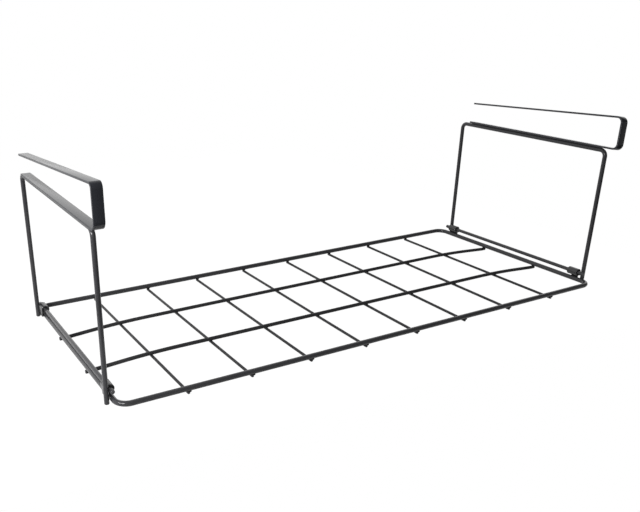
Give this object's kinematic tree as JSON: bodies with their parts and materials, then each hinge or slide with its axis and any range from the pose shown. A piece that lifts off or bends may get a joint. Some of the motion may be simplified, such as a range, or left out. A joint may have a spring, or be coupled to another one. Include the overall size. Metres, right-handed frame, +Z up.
{
  "type": "under-shelf basket",
  "caption": "Flat welded wire tray that hangs under a shelf from fold-in side frames, each topped by a sprung strap clip that grips the shelf board.",
  "frame": {"origin": "centre of the tray in plan, on the surface that the basket stands on", "axes": "+X along the tray to the right, -Y to the front, +Z up"},
  "size_m": [0.4705, 0.1971, 0.1538],
  "materials": {
    "frame_coat": "satin black powder coat on steel wire",
    "grid_coat": "satin black powder coat on thin steel wire",
    "knuckle_coat": "satin black powder coat on rolled sheet",
    "strap_coat": "semi-gloss black powder coat on flat strap"
  },
  "bodies": {
    "tray": {"base_ring": "frame_coat", "long_wire_front": "grid_coat", "long_wire_back": "grid_coat", "cross_wire_1": "grid_coat", "cross_wire_2": "grid_coat", "cross_wire_3": "grid_coat", "cross_wire_4": "grid_coat", "cross_wire_5": "grid_coat", "cross_wire_6": "grid_coat", "cross_wire_7": "grid_coat", "cross_wire_8": "grid_coat", "knuckle_left_front": "knuckle_coat", "knuckle_left_back": "knuckle_coat", "knuckle_right_front": "knuckle_coat", "knuckle_right_back": "knuckle_coat"},
    "left_side": {"side_frame_left": "frame_coat", "hinge_bar_left": "frame_coat", "shelf_clip_left": "strap_coat"},
    "right_side": {"side_frame_right": "frame_coat", "hinge_bar_right": "frame_coat", "shelf_clip_right": "strap_coat"}
  },
  "joints": [
    {"name": "left_fold", "type": "hinge", "parent": "tray", "child": "left_side", "pos_m": [-0.2256, 0, 0.0115], "axis": [0, 1, 0], "range_deg": [0, 91]},
    {"name": "right_fold", "type": "hinge", "parent": "tray", "child": "right_side", "pos_m": [0.2256, 0, 0.0115], "axis": [0, -1, 0], "range_deg": [0, 91]}
  ]
}
